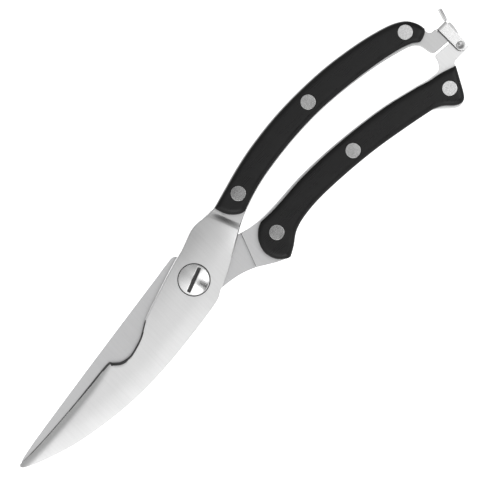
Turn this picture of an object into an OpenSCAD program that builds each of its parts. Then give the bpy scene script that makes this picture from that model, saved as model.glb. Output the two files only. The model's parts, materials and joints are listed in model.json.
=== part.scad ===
// Poultry shears: two forged steel halves that cross at a slotted pivot screw, riveted
// black handle scales, a hidden opening spring, and a swinging clasp that locks the
// handles shut. They are drawn closed and locked.
// The origin is on the pivot axis, in the plane that the shears lie on. The blades point
// along -X and the handles along +X, and +Y runs from the lower handle to the upper one.

/* [Overall] */
// Reach of the blades, from the pivot axis to the tip
blade_length = 104; // [96:1:112]
// Reach of the handles, from the pivot axis to the end of the upper scales
handle_length = 138.5; // [132:0.5:146]

/* [Steel halves] */
// Thickness of the tangs between the scales
tang_t = 4.5; // [4:0.1:5.5]
// Thickness of each half where they cross at the pivot
ricasso_t = 4.6; // [4.4:0.1:5]
// Thickness of each blade at its tip
tip_t = 1.6; // [1.2:0.1:2.4]
// Thickness left at the ground cutting edges
edge_t = 0.4; // [0.2:0.1:0.8]
// Slope of the ground bevels, in degrees
bevel_angle = 30; // [24:1:36]
// Gap between the two halves where they slide over each other
shear_gap = 0.1; // [0.06:0.01:0.2]

/* [Handles] */
// Thickness of each scale
scale_t = 4.2; // [3.8:0.1:5]
// Diameter of the rivet heads
rivet_head_d = 6.1; // [5:0.1:7]
// Diameter of the rivet tubes
rivet_tube_d = 3.8; // [3.4:0.1:4.2]
// Diameter of the rivet pins
rivet_pin_d = 2.6; // [2:0.1:2.8]

/* [Pivot] */
// Diameter of the pivot screw's head
screw_head_d = 12.7; // [12:0.1:13.2]
// Diameter of the pivot screw's shank
screw_d = 5; // [4:0.5:5]
// Width of the screwdriver slot
slot_w = 1.15; // [1:0.05:1.6]
// Length of the screwdriver slot
slot_l = 10.7; // [9:0.1:11]
// Direction of the screwdriver slot, in degrees
slot_turn = 21; // [0:1:90]
// Diameter of the nut's barrel, which the front half turns on
barrel_d = 7; // [6.6:0.1:7.4]
// Radial running clearance round the barrel and round the clasp pin
running_gap = 0.05; // [0.02:0.01:0.1]
// Diameter of the opening spring's wire
spring_wire_d = 0.8; // [0.6:0.1:0.8]

/* [Clasp] */
// Width of the clasp
clasp_w = 5; // [4.6:0.1:5.4]
// Thickness of the clasp's sheet
clasp_sheet_t = 0.9; // [0.7:0.05:1]
// Diameter of the clasp pin
clasp_pin_d = 2.4; // [2:0.1:2.8]
// Diameter of the clasp pin's formed heads
clasp_head_d = 3.4; // [3:0.1:3.8]

/* [Hidden] */
$fn = 72;
HANDLES = ["upper", "lower"];
RIVETS = [1, 2, 3];

STEEL = [0.80, 0.80, 0.79];
STEEL_BEHIND = [0.72, 0.72, 0.72];
POLISHED = [0.88, 0.88, 0.87];
SPRING_STEEL = [0.55, 0.56, 0.58];
RIVET_GREY = [0.68, 0.68, 0.67];
BLACK = [0.13, 0.13, 0.13];

// Levels, from the back up
handle_t = tang_t + 2 * scale_t;
shear_z = handle_t / 2;
tang_z = scale_t;
tang_top = scale_t + tang_t;
front_z = shear_z + shear_gap / 2;
front_top = front_z + ricasso_t;
rear_top = shear_z - shear_gap / 2;
rear_z = rear_top - ricasso_t;

// More than the shears measure any way, and a little more than a touch
far = 200;
lap = 1;

// The outlines are drawn for these two lengths, and along() fits them to other lengths
drawn_blade = 104;
drawn_handle = 138.5;
function along(points) = [
  for (p = points)
    [p[0] * (p[0] < 0 ? blade_length / drawn_blade : handle_length / drawn_handle), p[1]]
];

// A smooth curve through points, without its last point, which starts the next stretch.
// Two points are a straight edge.
curve_steps = 6;
function span(p, i) = norm(p[i + 1] - p[i]);
function chord(p, i) = (p[i + 1] - p[i]) / span(p, i);
function pull(p, i) =
  i == 0 ? 2 * chord(p, 0) - pull(p, 1)
  : i == len(p) - 1 ? 2 * chord(p, i - 1) - pull(p, i - 1)
  : (p[i + 1] - p[i - 1]) / (span(p, i - 1) + span(p, i));
function blend(a, b, run_a, run_b, u) =
  a * (1 - 3 * u * u + 2 * u * u * u) + b * (3 * u * u - 2 * u * u * u)
  + run_a * (u - 2 * u * u + u * u * u) + run_b * (u * u * u - u * u);
function curve(p) =
  len(p) == 2 ? [p[0]]
  : [
    for (i = [0:len(p) - 2]) for (k = [0:curve_steps - 1])
      let (s = span(p, i))
        blend(p[i], p[i + 1], pull(p, i) * s, pull(p, i + 1) * s, k / curve_steps)
  ];
function outline(stretches) = [for (s = stretches) each curve(s)];

// Front half, from the tip: cutting edge, bone notch, back of the ricasso, then the
// straight underside and the belly back to the tip
front_shoulder = along([[22.2, 15.15], [27.6, 1.5]]);
front_outline = outline([
  along([[-103.3, -3], [-90.5, -2.8], [-70.5, -1.35], [-50.2, 0.8], [-48, 0.6]]),
  along([
    [-48, 0.6], [-47, -0.8], [-44.5, -2.7], [-40.5, -3.45], [-37, -2.8], [-32, -1.1],
    [-26, 2.3], [-20.5, 4.45], [-10.5, 7.75], [-0.5, 10.85], [4.5, 12.1], [9.5, 13.95],
    [13, 15.2], [16, 15.6], [20, 15.3], [26.3, 15]
  ]),
  along([[26.3, 15], [30.5, 3.1]]),
  along([[30.5, 3.1], [14.5, -5.85], [6, -10.2]]),
  along([
    [6, -10.2], [4.8, -10.6], [2, -12.2], [-0.4, -12.9], [-10.4, -14.5], [-30.4, -16.75],
    [-45.4, -17.35], [-60.4, -16.6], [-80.4, -13.4], [-95.4, -8.75], [-102.4, -5.6],
    [-104, -4.1], [-103.3, -3]
  ])
]);

// Rear half, from the neck: shoulder and spine to the tip, then the hidden cutting edge
// and the lower side back to the neck
rear_shoulder = along([[27.1, 0.05], [21.6, -14.4]]);
rear_outline = outline([
  along([
    [25.5, 0.45], [20, 2.5], [12, 6], [6, 9], [1.9, 11.4], [0.6, 12.5], [-1, 12.75],
    [-10.4, 11.4], [-50.4, 5.75], [-90.4, -0.2], [-100.4, -2.1], [-102.6, -3]
  ]),
  along([[-102.6, -3], [-103.2, -3.9], [-102.4, -4.6]]),
  along([
    [-102.4, -4.6], [-60, -5], [-25, -6.2], [-10, -9], [0, -10.6], [5.5, -10.35],
    [14.5, -11.75], [21.5, -14.35], [24, -15.85]
  ]),
  along([[24, -15.85], [30.5, -0.9]]),
  along([[30.5, -0.9], [27, 0.05], [25.5, 0.45]])
]);

// Edges that the scales share with the tangs
upper_top = along([
  [26.3, 15], [34.5, 17.2], [44.5, 19.9], [54.5, 21.95], [69.5, 23.75], [84.5, 24.15],
  [99.5, 23.35], [114.5, 21.1], [124.5, 18.7], [131, 16.4], [135.3, 13.6], [137.5, 10.3],
  [138.4, 6.6]
]);
lower_bottom = along([
  [117.5, -19.8], [104.5, -17.2], [89.5, -14.75], [74.5, -13.3], [59.5, -12.75],
  [49.5, -13.65], [43.5, -15.5], [38.5, -18.95], [34.5, -21.2]
]);

// Scales, from the blade end along the top and back along the bottom
upper_scale_outline = outline([
  upper_top,
  along([[138.4, 6.6], [138.3, 5.5], [137, 4.2], [134.2, 3.1]]),
  along([
    [134.2, 3.1], [132.8, 3.3], [130.5, 4.95], [125, 6.95], [114.5, 9.2], [99.5, 11.25],
    [84.5, 12.3], [69.5, 11.85], [54.5, 10.1], [44.5, 8.05], [34.5, 4.75]
  ]),
  along([[34.5, 4.75], [31.5, 5.8], [28.1, 9.35], [26.3, 15]])
]);
lower_scale_outline = outline([
  along([
    [36, -2.15], [44.5, -2.3], [59.5, -1.3], [74.5, -1.5], [89.5, -2.75], [104.5, -4.9],
    [119.5, -8.45], [125, -10.1], [130, -11.1], [136.9, -13.5]
  ]),
  along([
    [136.9, -13.5], [134, -18.8], [131.3, -23.6], [129.6, -25.7], [127.5, -26.2], [125, -25],
    [121.5, -21.8], [117.5, -19.8]
  ]),
  lower_bottom,
  along([
    [34.5, -21.2], [32.6, -20.6], [29.3, -17.3], [28.05, -12.15], [29.5, -7.35],
    [32.5, -3.95], [36, -2.15]
  ])
]);
scale_outlines = [upper_scale_outline, lower_scale_outline];
rivet_places = [
  along([[37.5, 12.05], [83.75, 18.25], [131.65, 10.45]]),
  along([[37.4, -10.15], [82.75, -8.55], [128.3, -18.4]])
];

// Clasp pin, and the nose on the upper lug, which clears the clasp by nose_play all the
// way as the clasp swings off it
end_x = handle_length;
clasp_pin_at = [end_x + 5.5, -9.15];
clasp_left = clasp_pin_at[0] - 0.45 * clasp_w;
clasp_middle = clasp_left + clasp_w / 2;
bight_y = 1.75;
nose_play = 0.55;
nose_reach = bight_y - clasp_pin_at[1] - nose_play;
nose_foot_x = clasp_left - 0.3;
nose_from = -asin((clasp_pin_at[0] - nose_foot_x) / nose_reach);
nose_to = 21;
nose_steps = 4;
nose_arc = [
  for (i = [0:nose_steps])
    let (a = nose_from + (nose_to - nose_from) * i / nose_steps)
      clasp_pin_at + nose_reach * [sin(a), cos(a)]
];

// Tangs, from the shoulder along the top, round the lug and back along the bottom. They
// stand a little proud of the scales in places.
upper_tang_outline = outline([
  [front_shoulder[0], upper_top[0]],
  upper_top,
  [upper_top[len(upper_top) - 1], [end_x - 0.2, 5.5]],
  [[end_x - 0.2, 5.5], [end_x - 0.1, 3.9], [end_x + 1.1, 2.8]],
  [[end_x + 1.1, 2.8], [nose_foot_x, 2.8]],
  [[nose_foot_x, 2.8], nose_arc[0]],
  nose_arc,
  [nose_arc[nose_steps], [end_x + 9.35, -1.1], [end_x + 8.6, -5]],
  [[end_x + 8.6, -5], [end_x - 3.9, -4]],
  [[end_x - 3.9, -4], [end_x - 4.9, -2.7], [end_x - 5.4, -0.3], [end_x - 6, 2.2]],
  concat(
    [[end_x - 6, 2.2]],
    along([
      [129.8, 4.7], [124.5, 6.5], [114.5, 8.9], [99.5, 11.2], [84.5, 12.3], [69.5, 11.85],
      [54.5, 10.1], [44.5, 8.05], [34.5, 4.75], [27.6, 1.5]
    ])
  ),
  [front_shoulder[1], front_shoulder[0]]
]);
lower_tang_outline = outline([
  concat(
    [rear_shoulder[0]],
    along([
      [30.5, -0.9], [36, -1.7], [44.5, -1.7], [59.5, -0.8], [74.5, -1.2], [89.5, -2.6],
      [104.5, -4.8], [119.5, -8.3], [125, -9.75]
    ]),
    [[end_x - 8.2, -10.3]]
  ),
  [[end_x - 8.2, -10.3], [end_x - 6.2, -8.8], [end_x - 4.8, -5.3]],
  [[end_x - 4.8, -5.3], [end_x - 4.3, -4.8]],
  [[end_x - 4.3, -4.8], [end_x + 8, -5.75]],
  [[end_x + 8, -5.75], [end_x + 8.25, -9.2], [end_x + 7.5, -12.1]],
  [[end_x + 7.5, -12.1], [end_x + 0.4, -12.1]],
  [[end_x + 0.4, -12.1], [end_x - 0.8, -12.45], [end_x - 1.6, -13.5]],
  along([
    [136.9, -13.5], [134, -18.8], [131.3, -23.6], [129.4, -25.9], [126.5, -26.6],
    [124, -25.3], [120.5, -22.1], [117.5, -19.8]
  ]),
  lower_bottom,
  along([[34.5, -21.2], [29.5, -19.1], [24.5, -16.2], [21.6, -14.4]]),
  [rear_shoulder[1], rear_shoulder[0]]
]);

// Rivets: a tube from the back and a pin from the front, pressed together
rivet_head_t = 0.9;
rivet_floor_t = 0.5;
rivet_end_gap = 0.1;
rivet_fit = 0.03;

// Pivot: the screw is tight on the nut's barrel, and the washer fills the room between
// its head and the front half
counterbore_d = screw_head_d + 0.8;
counterbore_floor = front_top - 1.2;
washer_t = 0.44;
washer_play = 0.03;
screw_seat_z = counterbore_floor + washer_t + 2 * washer_play;
screw_rim_z = front_top + 0.65;
screw_dome_h = 0.95;
screw_end_z = 1.2;
slot_depth = 1.5;
nut_bore_z = 1;
key_d = 8;
key_flats = 6.4;
key_fit = 0.05;

// Opening spring: a coil round the barrel, in a room that is half in each blade, with a
// straight leg laid in a groove of each
spring_room_d = 11.2;
spring_room_h = 1.5;
spring_floor_z = rear_top - spring_room_h;
spring_roof_z = front_z + spring_room_h;
spring_end_gap = 0.15;
spring_r = 4.7;
spring_turns = 2;
spring_steps = 20;
spring_sides = 8;
spring_leg = 5.5;
spring_leg_room = 0.3;
spring_low_z = spring_floor_z + spring_end_gap + spring_wire_d / 2;
spring_high_z = spring_roof_z - spring_end_gap - spring_wire_d / 2;

// Clasp levels and its bends
clasp_play = 0.1;
cheek_front_z = tang_top + clasp_play;
cheek_back_z = tang_z - clasp_play - clasp_sheet_t;
clasp_bend_r = 1.7;
clasp_head_t = 0.55;
clasp_tail = 4;
dimple_d = 1.6;
dimple_depth = 0.25;
bend_steps = 6;

// A solid between two levels
module slab(points, low, high) {
  translate([0, 0, low]) linear_extrude(high - low) polygon(points);
}

// Round solid about a point of the plan, between two levels
module post(at, d, low, high) {
  translate([at[0], at[1], low]) cylinder(d = d, h = high - low);
}

// Everything above the plane through the line from a to b at this level, which falls
// away on the line's left by this many degrees
module above_plane(a, b, level, fall) {
  translate([a[0], a[1], level])
    rotate([0, 0, atan2(b[1] - a[1], b[0] - a[0])])
      rotate([-fall, 0, 0])
        translate([-lap, -far, 0])
          cube([norm(b - a) + 2 * lap, 2 * far, far]);
}

// Turned over about the plane midway between the two halves
module turned_over() {
  translate([0, 0, 2 * shear_z]) mirror([0, 0, 1]) children();
}

// Blade and ricasso above the shear plane: thinner towards the tip, bevelled along the
// line from edge_a to edge_b, and sloped down past the shoulder
taper_x = -9;
shoulder_fall = 60;
module forged(points, shoulder, edge_a, edge_b) {
  difference() {
    slab(points, front_z, front_top);
    above_plane(
      [taper_x, -far], [taper_x, far], front_top,
      atan((ricasso_t - tip_t) / (blade_length + taper_x))
    );
    above_plane(edge_a, edge_b, front_z + edge_t, bevel_angle);
    above_plane(
      2 * shoulder[0] - shoulder[1], 2 * shoulder[1] - shoulder[0], front_top, shoulder_fall
    );
  }
}

// Holes for one handle's rivets
module rivet_holes(handle, d, low, high) {
  for (at = rivet_places[handle])
    post(at, d + 2 * rivet_fit, low, high);
}

// Groove for a straight leg that leaves the spring on its +Y side
module leg_groove(side, low, high) {
  reach = spring_leg + spring_leg_room;
  width = spring_wire_d + 2 * spring_leg_room;
  translate([side < 0 ? -reach : 0, spring_r - width / 2, low])
    cube([reach, width, high - low]);
}

module front_blade() {
  edge = along([[-103.3, -3], [-46, 0.9]]);
  color(STEEL) difference() {
    union() {
      forged(front_outline, front_shoulder, edge[0], edge[1]);
      slab(upper_tang_outline, tang_z, tang_top);
    }
    post([0, 0], barrel_d + 2 * running_gap, 0, far);
    post([0, 0], counterbore_d, counterbore_floor, far);
    post([0, 0], spring_room_d, 0, spring_roof_z);
    leg_groove(-1, 0, spring_roof_z);
    rivet_holes(0, rivet_tube_d, 0, far);
  }
}

module rear_blade() {
  edge = along([[-25, -6.2], [-102.4, -4.6]]);
  color(STEEL_BEHIND) difference() {
    union() {
      turned_over() forged(rear_outline, rear_shoulder, edge[0], edge[1]);
      slab(lower_tang_outline, tang_z, tang_top);
    }
    nut_key(key_fit, 0, far);
    post([0, 0], spring_room_d, spring_floor_z, far);
    leg_groove(1, spring_floor_z, far);
    rivet_holes(1, rivet_tube_d, 0, far);
    post(clasp_pin_at, clasp_pin_d, 0, far);
  }
}

module scale_front(handle) {
  color(BLACK) difference() {
    slab(scale_outlines[handle], tang_top, handle_t);
    rivet_holes(handle, rivet_tube_d, 0, far);
    rivet_holes(handle, rivet_head_d, handle_t - rivet_head_t, far);
  }
}

module scale_back(handle) {
  color(BLACK) difference() {
    slab(scale_outlines[handle], 0, tang_z);
    rivet_holes(handle, rivet_tube_d, -lap, far);
    rivet_holes(handle, rivet_head_d, -lap, rivet_head_t);
  }
}

module rivet_tube(handle, i) {
  at = rivet_places[handle][i - 1];
  color(RIVET_GREY) difference() {
    union() {
      post(at, rivet_head_d, 0, rivet_head_t);
      post(at, rivet_tube_d, 0, handle_t - rivet_head_t - rivet_end_gap);
    }
    post(at, rivet_pin_d, rivet_floor_t, far);
  }
}

module rivet_pin(handle, i) {
  at = rivet_places[handle][i - 1];
  color(RIVET_GREY) {
    post(at, rivet_head_d, handle_t - rivet_head_t, handle_t);
    post(at, rivet_pin_d, rivet_floor_t + rivet_end_gap, handle_t - rivet_head_t);
  }
}

module pivot_screw() {
  rim_r = screw_head_d / 2;
  dome_r = (rim_r * rim_r + screw_dome_h * screw_dome_h) / (2 * screw_dome_h);
  top_z = screw_rim_z + screw_dome_h;
  color(POLISHED) difference() {
    union() {
      intersection() {
        post([0, 0], screw_head_d, screw_seat_z, top_z);
        translate([0, 0, top_z - dome_r]) sphere(dome_r);
      }
      post([0, 0], screw_d, screw_end_z, screw_seat_z);
    }
    rotate([0, 0, slot_turn])
      translate([-slot_l / 2, -slot_w / 2, top_z - slot_depth])
        cube([slot_l, slot_w, slot_depth + lap]);
  }
}

// Keyed foot of the nut's barrel, with two flats that stop it turning in the rear half
module nut_key(fit, low, high) {
  intersection() {
    post([0, 0], key_d + 2 * fit, low, high);
    translate([-far / 2, -key_flats / 2 - fit, low]) cube([far, key_flats + 2 * fit, high - low]);
  }
}

module pivot_nut() {
  color(POLISHED) difference() {
    union() {
      post([0, 0], screw_head_d, 0, rear_z);
      nut_key(0, rear_z, spring_floor_z);
      post([0, 0], barrel_d, spring_floor_z, screw_seat_z);
    }
    post([0, 0], screw_d, nut_bore_z, far);
  }
}

module spring_washer() {
  low = counterbore_floor + washer_play;
  color(SPRING_STEEL) difference() {
    post([0, 0], screw_head_d - 0.6, low, low + washer_t);
    post([0, 0], barrel_d + 0.3, 0, far);
  }
}

// A round wire swept along a route that stays nearly level
function ring(route, i) =
  let (
    n = len(route),
    way = route[min(i + 1, n - 1)] - route[max(i - 1, 0)],
    side = cross(way, [0, 0, 1]) / norm(cross(way, [0, 0, 1])),
    up = cross(side, way) / norm(way)
  )
  [
    for (k = [0:spring_sides - 1])
      let (a = 360 * k / spring_sides)
        route[i] + spring_wire_d / 2 * (cos(a) * side + sin(a) * up)
  ];
module wire(route) {
  n = len(route);
  m = spring_sides;
  polyhedron(
    points = [for (i = [0:n - 1]) each ring(route, i)],
    faces = concat(
      [[for (k = [0:m - 1]) k]],
      [
        for (i = [0:n - 2]) for (k = [0:m - 1])
          [i * m + k, i * m + m + k, i * m + m + (k + 1) % m, i * m + (k + 1) % m]
      ],
      [[for (k = [m - 1:-1:0]) (n - 1) * m + k]]
    )
  );
}

module opening_spring() {
  turns = spring_turns * spring_steps;
  rise = spring_high_z - spring_low_z;
  coil = [
    for (i = [0:turns])
      let (a = 90 + 360 * i / spring_steps)
        [spring_r * cos(a), spring_r * sin(a), spring_low_z + rise * i / turns]
  ];
  color(SPRING_STEEL)
    wire(concat(
      [[spring_leg, spring_r, spring_low_z]],
      coil,
      [[-spring_leg, spring_r, spring_high_z]]
    ));
}

// Quarter-round corner of a bent sheet, from angle a to angle b
function bend(centre, r, a, b) = [
  for (i = [0:bend_steps])
    let (t = a + (b - a) * i / bend_steps)
      centre + r * [cos(t), sin(t)]
];

// Side view of the clasp: two cheeks joined by the bight, in Y and Z
module clasp_side() {
  outer_y = bight_y + clasp_sheet_t;
  bend_y = outer_y - clasp_bend_r;
  bottom = cheek_back_z;
  top = cheek_front_z + clasp_sheet_t;
  tail_y = clasp_pin_at[1] - clasp_tail;
  inner_r = clasp_bend_r - clasp_sheet_t;
  polygon(concat(
    [[tail_y, bottom]],
    bend([bend_y, bottom + clasp_bend_r], clasp_bend_r, -90, 0),
    bend([bend_y, top - clasp_bend_r], clasp_bend_r, 0, 90),
    [[tail_y, top], [tail_y, top - clasp_sheet_t]],
    bend([bend_y, top - clasp_bend_r], inner_r, 90, 0),
    bend([bend_y, bottom + clasp_bend_r], inner_r, 0, -90),
    [[tail_y, bottom + clasp_sheet_t]]
  ));
}

// A strip of sheet along a curve, in plan
function normal(p, i) =
  let (way = p[min(i + 1, len(p) - 1)] - p[max(i - 1, 0)])
    [-way[1], way[0]] / norm(way);
function strip(p, t) = concat(
  [for (i = [0:len(p) - 1]) p[i] + t / 2 * normal(p, i)],
  [for (i = [len(p) - 1:-1:0]) p[i] - t / 2 * normal(p, i)]
);

module clasp() {
  right = clasp_left + clasp_w;
  middle_y = bight_y + clasp_sheet_t / 2;
  tab = [
    [right - 0.7, middle_y], [right, middle_y + 0.35], [right + 0.8, middle_y + 1.5],
    [right + 1.8, middle_y + 3.3], [right + 2.5, middle_y + 4.9]
  ];
  color(POLISHED) difference() {
    union() {
      intersection() {
        translate([clasp_left, 0, 0]) rotate([90, 0, 90]) linear_extrude(clasp_w) clasp_side();
        union() {
          post([clasp_middle, clasp_pin_at[1]], clasp_w, 0, far);
          translate([clasp_left, clasp_pin_at[1], 0]) cube([clasp_w, far, far]);
        }
      }
      slab(strip(concat(curve(tab), [tab[len(tab) - 1]]), clasp_sheet_t), tang_z, tang_top);
    }
    post(clasp_pin_at, clasp_pin_d + 2 * running_gap, 0, far);
  }
}

module clasp_pin() {
  head_play = 0.05;
  back = cheek_back_z - head_play;
  front = cheek_front_z + clasp_sheet_t + head_play;
  color(POLISHED) difference() {
    union() {
      post(clasp_pin_at, clasp_head_d, back - clasp_head_t, back);
      post(clasp_pin_at, clasp_pin_d, back, front);
      post(clasp_pin_at, clasp_head_d, front, front + clasp_head_t);
    }
    post(clasp_pin_at, dimple_d, front + clasp_head_t - dimple_depth, far);
  }
}

front_blade();
rear_blade();
for (h = [0, 1]) {
  scale_front(h);
  scale_back(h);
  for (i = RIVETS) {
    rivet_tube(h, i);
    rivet_pin(h, i);
  }
}
pivot_screw();
pivot_nut();
spring_washer();
opening_spring();
clasp();
clasp_pin();
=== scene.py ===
"""Poultry shears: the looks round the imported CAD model.

Every piece is built in millimetres from the CAD nodes' own flat faces and boxes, and turned into
metres when its mesh is made. Plates are solids between two height fields over a plan outline.
"""

import json
import math

import bpy
import numpy as np
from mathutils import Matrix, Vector
from mathutils.geometry import delaunay_2d_cdt

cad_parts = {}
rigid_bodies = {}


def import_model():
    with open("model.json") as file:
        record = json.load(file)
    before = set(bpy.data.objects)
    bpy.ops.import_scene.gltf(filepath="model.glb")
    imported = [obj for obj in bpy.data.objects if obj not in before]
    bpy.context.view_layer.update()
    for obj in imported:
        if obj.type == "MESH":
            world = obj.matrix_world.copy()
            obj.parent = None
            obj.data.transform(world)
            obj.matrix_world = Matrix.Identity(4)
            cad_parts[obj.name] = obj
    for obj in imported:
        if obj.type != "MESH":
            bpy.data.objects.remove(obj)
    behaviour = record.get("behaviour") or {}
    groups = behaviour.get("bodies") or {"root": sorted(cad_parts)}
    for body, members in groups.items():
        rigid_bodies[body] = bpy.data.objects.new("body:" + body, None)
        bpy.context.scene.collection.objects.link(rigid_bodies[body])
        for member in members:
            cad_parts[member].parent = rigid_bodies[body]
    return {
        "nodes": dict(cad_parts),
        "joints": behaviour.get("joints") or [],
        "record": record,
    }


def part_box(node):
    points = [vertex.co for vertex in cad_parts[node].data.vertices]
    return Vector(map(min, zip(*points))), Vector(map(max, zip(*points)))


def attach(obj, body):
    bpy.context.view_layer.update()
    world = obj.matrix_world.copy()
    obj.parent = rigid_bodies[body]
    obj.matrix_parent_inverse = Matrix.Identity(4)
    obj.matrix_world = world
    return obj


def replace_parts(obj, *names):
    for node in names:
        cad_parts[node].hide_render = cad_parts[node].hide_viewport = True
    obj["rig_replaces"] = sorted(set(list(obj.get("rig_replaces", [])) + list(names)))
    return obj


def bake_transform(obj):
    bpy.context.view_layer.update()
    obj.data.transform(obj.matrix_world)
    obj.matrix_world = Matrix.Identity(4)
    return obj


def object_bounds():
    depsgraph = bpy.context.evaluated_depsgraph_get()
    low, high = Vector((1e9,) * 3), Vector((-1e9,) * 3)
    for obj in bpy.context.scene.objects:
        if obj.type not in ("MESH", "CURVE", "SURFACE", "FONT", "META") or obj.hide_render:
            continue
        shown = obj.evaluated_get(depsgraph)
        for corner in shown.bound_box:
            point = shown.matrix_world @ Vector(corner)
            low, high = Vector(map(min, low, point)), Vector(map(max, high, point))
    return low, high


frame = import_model()
cad_low, cad_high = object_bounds()

MM = 0.001
record = frame["record"]
BODY_OF = {node: body for body, nodes in record["behaviour"]["bodies"].items() for node in nodes}
JOINT = {joint["name"]: joint for joint in frame["joints"]}


def box(node):
    """Lowest and highest corner of a CAD node, in millimetres."""
    low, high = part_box(node)
    return np.array(low) / MM, np.array(high) / MM


def round_box(node):
    """Lowest and highest corner of a round CAD node, its middle in plan and its radius."""
    low, high = box(node)
    return low, high, (low[:2] + high[:2]) / 2, (high[0] - low[0]) / 2


# Levels of the assembly, from the back up
PIVOT_Z = JOINT["main_pivot"]["pos_m"][2] / MM
HANDLE_TOP = box("upper_scale_front")[1][2]
TANG_TOP = box("upper_scale_front")[0][2]
TANG_LOW = box("upper_scale_back")[1][2]
WALL = 0.04  # plan width of a wall that stands upright
ROUND_STEPS = 64


# ---------------------------------------------------------------- plan geometry

def mesh_arrays(node):
    """A CAD node's points and triangles, in millimetres."""
    mesh = frame["nodes"][node].data
    points = np.empty(len(mesh.vertices) * 3, np.float32)
    mesh.vertices.foreach_get("co", points)
    mesh.calc_loop_triangles()
    triangles = np.empty(len(mesh.loop_triangles) * 3, np.int32)
    mesh.loop_triangles.foreach_get("vertices", triangles)
    return points.reshape(-1, 3).astype(float) / MM, triangles.reshape(-1, 3)


def area_of(loop):
    """Signed area of a closed loop, positive when it runs anticlockwise."""
    x, y = loop[:, 0], loop[:, 1]
    return 0.5 * float(np.sum(x * np.roll(y, -1) - y * np.roll(x, -1)))


def radius_of(loop):
    """Radius of a circle with a loop's area."""
    return math.sqrt(abs(area_of(loop)) / math.pi)


def ways_of(faces):
    """The directed edges of triangles."""
    return {(int(face[i]), int(face[(i + 1) % 3])) for face in faces for i in range(3)}


def ring_edges(first, count, closed=True):
    """Edges through points that are numbered in order."""
    return [(first + i, first + (i + 1) % count) for i in range(count - (not closed))]


def chain(edges):
    """Closed loops through directed edges between plan points, the largest first."""
    after = {}
    for a, b in edges:
        after.setdefault(a, []).append(b)
    loops = []
    while after:
        start = next(iter(after))
        loop, here = [start], start
        while True:
            onward = after[here].pop()
            if not after[here]:
                del after[here]
            if onward == start:
                break
            loop.append(onward)
            here = onward
        loops.append(np.array(loop))
    return sorted(loops, key=lambda loop: -abs(area_of(loop)))


def flat_loops(node, z, up):
    """Loops round a node's flat faces at a level, with the faces on their left."""
    points, triangles = mesh_arrays(node)
    edges = set()
    for corner in points[triangles]:
        if np.abs(corner[:, 2] - z).max() > 0.01:
            continue
        plan = [(round(float(p[0]), 3), round(float(p[1]), 3)) for p in corner]
        turn = area_of(np.array(plan))
        if abs(turn) < 1e-9 or (turn > 0) != up:
            continue
        if turn < 0:
            plan.reverse()
        edges.update((plan[i], plan[(i + 1) % 3]) for i in range(3))
    return chain([edge for edge in edges if (edge[1], edge[0]) not in edges])


def flat_levels(node, up):
    """Levels of a node's flat faces that look up or down, the largest face first."""
    points, triangles = mesh_arrays(node)
    area = {}
    for corner in points[triangles]:
        if np.ptp(corner[:, 2]) < 0.001:
            turn = area_of(corner[:, :2])
            if (turn > 0) == up:
                level = round(float(corner[0, 2]), 2)
                area[level] = area.get(level, 0) + abs(turn)
    return sorted(area, key=lambda level: -area[level])


def triangulate(points, edges):
    """Constrained Delaunay triangles over plan points: (points, triangles)."""
    found, _, faces, *_ = delaunay_2d_cdt([Vector(p) for p in points], edges, [], 0, 1e-5)
    return np.array([tuple(p) for p in found]), np.array([tuple(f) for f in faces])


def inside(points, loop):
    """Which points lie inside a closed loop."""
    a, b = loop, np.roll(loop, -1, axis=0)
    found = np.zeros(len(points), bool)
    for (ax, ay), (bx, by) in zip(a, b):
        if ay == by:
            continue
        crosses = (points[:, 1] > ay) != (points[:, 1] > by)
        at = ax + (points[:, 1] - ay) * (bx - ax) / (by - ay)
        found ^= crosses & (points[:, 0] < at)
    return found


def distance(points, line, closed=True):
    """Distance from each point to a line of plan points."""
    a = line if closed else line[:-1]
    b = np.roll(line, -1, axis=0) if closed else line[1:]
    nearest = np.full(len(points), np.inf)
    for start, end in zip(a, b):
        way = end - start
        long = float(way @ way)
        if long < 1e-12:
            continue
        along = np.clip((points - start) @ way / long, 0, 1)
        gap = points - start - along[:, None] * way
        np.minimum(nearest, np.einsum("ij,ij->i", gap, gap), out=nearest)
    return np.sqrt(nearest)


def outer_loop(loops):
    """The outline of several overlapping or touching loops together."""
    points = np.concatenate(loops)
    edges, first = [], 0
    for loop in loops:
        edges += ring_edges(first, len(loop))
        first += len(loop)
    found, faces = triangulate(points, edges)
    middle = found[faces].mean(1)
    kept = faces[np.any([inside(middle, loop) for loop in loops], axis=0)]
    ways = ways_of(kept)
    border = [way for way in ways if (way[1], way[0]) not in ways]
    plan = [tuple(p) for p in found]
    return chain([(plan[a], plan[b]) for a, b in border])[0]


def normals(loop):
    """Unit normals of a closed loop, to the left of its way."""
    way = np.roll(loop, -1, axis=0) - loop
    way /= np.linalg.norm(way, axis=1)[:, None]
    mean = way + np.roll(way, 1, axis=0)
    mean /= np.maximum(np.linalg.norm(mean, axis=1)[:, None], 1e-9)
    return np.stack([-mean[:, 1], mean[:, 0]], axis=1)


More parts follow.
